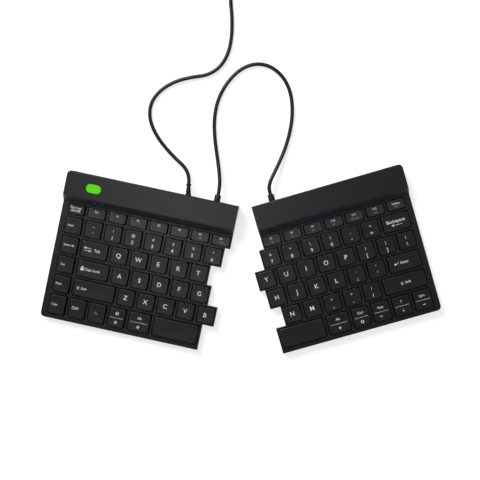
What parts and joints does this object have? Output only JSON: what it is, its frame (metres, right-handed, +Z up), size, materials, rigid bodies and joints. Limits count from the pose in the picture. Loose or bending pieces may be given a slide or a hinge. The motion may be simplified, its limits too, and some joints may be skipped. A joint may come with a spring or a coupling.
{
  "type": "split keyboard",
  "caption": "Low split keyboard: two stepped halves joined by a link cable, each with a raised bar behind its flat keys, and a computer lead from the left half.",
  "frame": {"origin": "on the desk plane, under the middle of the box round the two halves as they lie splayed, the cords left out", "axes": "+X to the user's right, +Y away from the user, +Z up from the desk"},
  "size_m": [0.3718, 0.3967, 0.0144],
  "materials": {
    "case_plastic": "fine matt texture, near black",
    "key_plastic": "smooth satin, black",
    "plate_steel": "zinc plated sheet",
    "contact_sheet": "clear film with printed tracks",
    "dome_rubber": "milky silicone",
    "link_plastic": "natural white",
    "board": "green lacquered board",
    "foot_rubber": "matt black",
    "screw_steel": "nickel plated",
    "light_window": "translucent, lit lime green",
    "led": "clear",
    "lens": "smoked clear",
    "cord_jacket": "soft satin jacket, black",
    "plug_plastic": "fine matt, black"
  },
  "bodies": {
    "left_half": {"left_top_case": "case_plastic", "left_bottom_case": "case_plastic", "left_backplate": "plate_steel", "left_membrane": "contact_sheet", "left_rubber_domes": "dome_rubber", "left_scissor_links": "link_plastic", "left_stabiliser_wires": "plate_steel", "left_circuit_board": "board", "left_rubber_feet": "foot_rubber", "left_case_screws": "screw_steel", "light_window": "light_window", "signal_led": "led", "indicator_lenses": "lens", "usb_strain_relief": "cord_jacket", "left_link_collar": "cord_jacket", "usb_cable": "cord_jacket", "usb_cable_coil": "cord_jacket", "usb_plug_grip": "plug_plastic", "usb_plug_shell": "screw_steel"},
    "link": {"link_cable": "cord_jacket"},
    "right_half": {"right_top_case": "case_plastic", "right_bottom_case": "case_plastic", "right_backplate": "plate_steel", "right_membrane": "contact_sheet", "right_rubber_domes": "dome_rubber", "right_scissor_links": "link_plastic", "right_stabiliser_wires": "plate_steel", "right_circuit_board": "board", "right_rubber_feet": "foot_rubber", "right_case_screws": "screw_steel", "right_link_collar": "cord_jacket"},
    "func_toggle_key": {"func_toggle_key": "key_plastic"},
    "escape_key": {"escape_key": "key_plastic"},
    "f1_to_f6_keys": {"f1_to_f6_keys": "key_plastic"},
    "shortcut_keys": {"shortcut_keys": "key_plastic"},
    "number_keys_left": {"number_keys_left": "key_plastic"},
    "tab_key": {"tab_key": "key_plastic"},
    "keys_q_to_t": {"keys_q_to_t": "key_plastic"},
    "caps_lock_key": {"caps_lock_key": "key_plastic"},
    "keys_a_to_g": {"keys_a_to_g": "key_plastic"},
    "left_shift_key": {"left_shift_key": "key_plastic"},
    "keys_z_to_b": {"keys_z_to_b": "key_plastic"},
    "left_ctrl_key": {"left_ctrl_key": "key_plastic"},
    "fn_key": {"fn_key": "key_plastic"},
    "system_key": {"system_key": "key_plastic"},
    "left_alt_key": {"left_alt_key": "key_plastic"},
    "left_space_key": {"left_space_key": "key_plastic"},
    "delete_key": {"delete_key": "key_plastic"},
    "f7_to_f12_keys": {"f7_to_f12_keys": "key_plastic"},
    "backspace_key": {"backspace_key": "key_plastic"},
    "number_keys_right": {"number_keys_right": "key_plastic"},
    "keys_y_to_backslash": {"keys_y_to_backslash": "key_plastic"},
    "enter_key": {"enter_key": "key_plastic"},
    "keys_h_to_quote": {"keys_h_to_quote": "key_plastic"},
    "right_shift_key": {"right_shift_key": "key_plastic"},
    "keys_n_to_slash": {"keys_n_to_slash": "key_plastic"},
    "arrow_keys": {"arrow_keys": "key_plastic"},
    "right_ctrl_key": {"right_ctrl_key": "key_plastic"},
    "right_alt_key": {"right_alt_key": "key_plastic"},
    "right_space_key": {"right_space_key": "key_plastic"}
  },
  "joints": [
    {"name": "halves_spread", "type": "slide", "parent": "left_half", "child": "link", "axis": [0.9774, -0.2113, 0], "range_m": [-0.01048, 0.08], "deforming": ["link_cable"]},
    {"name": "halves_splay", "type": "hinge", "parent": "link", "child": "right_half", "pos_m": [0.00788, 0.04997, 0], "axis": [0, 0, 1], "range_deg": [-28.2, 15], "deforming": ["link_cable"]},
    {"name": "func_toggle_key_press", "type": "slide", "parent": "left_half", "child": "func_toggle_key", "axis": [0, 0, -1], "range_m": [0, 0.002], "stiffness_N_per_m": 250, "deforming": ["left_rubber_domes", "left_scissor_links"]},
    {"name": "escape_key_press", "type": "slide", "parent": "left_half", "child": "escape_key", "axis": [0, 0, -1], "range_m": [0, 0.002], "stiffness_N_per_m": 250, "deforming": ["left_rubber_domes", "left_scissor_links"]},
    {"name": "f1_to_f6_keys_press", "type": "slide", "parent": "left_half", "child": "f1_to_f6_keys", "axis": [0, 0, -1], "range_m": [0, 0.002], "stiffness_N_per_m": 1500, "deforming": ["left_rubber_domes", "left_scissor_links"]},
    {"name": "shortcut_keys_press", "type": "slide", "parent": "left_half", "child": "shortcut_keys", "axis": [0, 0, -1], "range_m": [0, 0.002], "stiffness_N_per_m": 1250, "deforming": ["left_rubber_domes", "left_scissor_links"]},
    {"name": "number_keys_left_press", "type": "slide", "parent": "left_half", "child": "number_keys_left", "axis": [0, 0, -1], "range_m": [0, 0.002], "stiffness_N_per_m": 1750, "deforming": ["left_rubber_domes", "left_scissor_links"]},
    {"name": "tab_key_press", "type": "slide", "parent": "left_half", "child": "tab_key", "axis": [0, 0, -1], "range_m": [0, 0.002], "stiffness_N_per_m": 250, "deforming": ["left_rubber_domes", "left_scissor_links", "left_stabiliser_wires"]},
    {"name": "keys_q_to_t_press", "type": "slide", "parent": "left_half", "child": "keys_q_to_t", "axis": [0, 0, -1], "range_m": [0, 0.002], "stiffness_N_per_m": 1250, "deforming": ["left_rubber_domes", "left_scissor_links"]},
    {"name": "caps_lock_key_press", "type": "slide", "parent": "left_half", "child": "caps_lock_key", "axis": [0, 0, -1], "range_m": [0, 0.002], "stiffness_N_per_m": 250, "deforming": ["left_rubber_domes", "left_scissor_links", "left_stabiliser_wires"]},
    {"name": "keys_a_to_g_press", "type": "slide", "parent": "left_half", "child": "keys_a_to_g", "axis": [0, 0, -1], "range_m": [0, 0.002], "stiffness_N_per_m": 1250, "deforming": ["left_rubber_domes", "left_scissor_links"]},
    {"name": "left_shift_key_press", "type": "slide", "parent": "left_half", "child": "left_shift_key", "axis": [0, 0, -1], "range_m": [0, 0.002], "stiffness_N_per_m": 250, "deforming": ["left_rubber_domes", "left_scissor_links", "left_stabiliser_wires"]},
    {"name": "keys_z_to_b_press", "type": "slide", "parent": "left_half", "child": "keys_z_to_b", "axis": [0, 0, -1], "range_m": [0, 0.002], "stiffness_N_per_m": 1250, "deforming": ["left_rubber_domes", "left_scissor_links"]},
    {"name": "left_ctrl_key_press", "type": "slide", "parent": "left_half", "child": "left_ctrl_key", "axis": [0, 0, -1], "range_m": [0, 0.002], "stiffness_N_per_m": 250, "deforming": ["left_rubber_domes", "left_scissor_links"]},
    {"name": "fn_key_press", "type": "slide", "parent": "left_half", "child": "fn_key", "axis": [0, 0, -1], "range_m": [0, 0.002], "stiffness_N_per_m": 250, "deforming": ["left_rubber_domes", "left_scissor_links"]},
    {"name": "system_key_press", "type": "slide", "parent": "left_half", "child": "system_key", "axis": [0, 0, -1], "range_m": [0, 0.002], "stiffness_N_per_m": 250, "deforming": ["left_rubber_domes", "left_scissor_links"]},
    {"name": "left_alt_key_press", "type": "slide", "parent": "left_half", "child": "left_alt_key", "axis": [0, 0, -1], "range_m": [0, 0.002], "stiffness_N_per_m": 250, "deforming": ["left_rubber_domes", "left_scissor_links"]},
    {"name": "left_space_key_press", "type": "slide", "parent": "left_half", "child": "left_space_key", "axis": [0, 0, -1], "range_m": [0, 0.002], "stiffness_N_per_m": 250, "deforming": ["left_rubber_domes", "left_scissor_links", "left_stabiliser_wires"]},
    {"name": "delete_key_press", "type": "slide", "parent": "right_half", "child": "delete_key", "axis": [0, 0, -1], "range_m": [0, 0.002], "stiffness_N_per_m": 250, "deforming": ["right_rubber_domes", "right_scissor_links"]},
    {"name": "f7_to_f12_keys_press", "type": "slide", "parent": "right_half", "child": "f7_to_f12_keys", "axis": [0, 0, -1], "range_m": [0, 0.002], "stiffness_N_per_m": 1500, "deforming": ["right_rubber_domes", "right_scissor_links"]},
    {"name": "backspace_key_press", "type": "slide", "parent": "right_half", "child": "backspace_key", "axis": [0, 0, -1], "range_m": [0, 0.002], "stiffness_N_per_m": 250, "deforming": ["right_rubber_domes", "right_scissor_links", "right_stabiliser_wires"]},
    {"name": "number_keys_right_press", "type": "slide", "parent": "right_half", "child": "number_keys_right", "axis": [0, 0, -1], "range_m": [0, 0.002], "stiffness_N_per_m": 1500, "deforming": ["right_rubber_domes", "right_scissor_links"]},
    {"name": "keys_y_to_backslash_press", "type": "slide", "parent": "right_half", "child": "keys_y_to_backslash", "axis": [0, 0, -1], "range_m": [0, 0.002], "stiffness_N_per_m": 2000, "deforming": ["right_rubber_domes", "right_scissor_links"]},
    {"name": "enter_key_press", "type": "slide", "parent": "right_half", "child": "enter_key", "axis": [0, 0, -1], "range_m": [0, 0.002], "stiffness_N_per_m": 250, "deforming": ["right_rubber_domes", "right_scissor_links", "right_stabiliser_wires"]},
    {"name": "keys_h_to_quote_press", "type": "slide", "parent": "right_half", "child": "keys_h_to_quote", "axis": [0, 0, -1], "range_m": [0, 0.002], "stiffness_N_per_m": 1500, "deforming": ["right_rubber_domes", "right_scissor_links"]},
    {"name": "right_shift_key_press", "type": "slide", "parent": "right_half", "child": "right_shift_key", "axis": [0, 0, -1], "range_m": [0, 0.002], "stiffness_N_per_m": 250, "deforming": ["right_rubber_domes", "right_scissor_links", "right_stabiliser_wires"]},
    {"name": "keys_n_to_slash_press", "type": "slide", "parent": "right_half", "child": "keys_n_to_slash", "axis": [0, 0, -1], "range_m": [0, 0.002], "stiffness_N_per_m": 1250, "deforming": ["right_rubber_domes", "right_scissor_links"]},
    {"name": "arrow_keys_press", "type": "slide", "parent": "right_half", "child": "arrow_keys", "axis": [0, 0, -1], "range_m": [0, 0.002], "stiffness_N_per_m": 750, "deforming": ["right_rubber_domes", "right_scissor_links"]},
    {"name": "right_ctrl_key_press", "type": "slide", "parent": "right_half", "child": "right_ctrl_key", "axis": [0, 0, -1], "range_m": [0, 0.002], "stiffness_N_per_m": 250, "deforming": ["right_rubber_domes", "right_scissor_links"]},
    {"name": "right_alt_key_press", "type": "slide", "parent": "right_half", "child": "right_alt_key", "axis": [0, 0, -1], "range_m": [0, 0.002], "stiffness_N_per_m": 250, "deforming": ["right_rubber_domes", "right_scissor_links"]},
    {"name": "right_space_key_press", "type": "slide", "parent": "right_half", "child": "right_space_key", "axis": [0, 0, -1], "range_m": [0, 0.002], "stiffness_N_per_m": 250, "deforming": ["right_rubber_domes", "right_scissor_links", "right_stabiliser_wires"]}
  ]
}
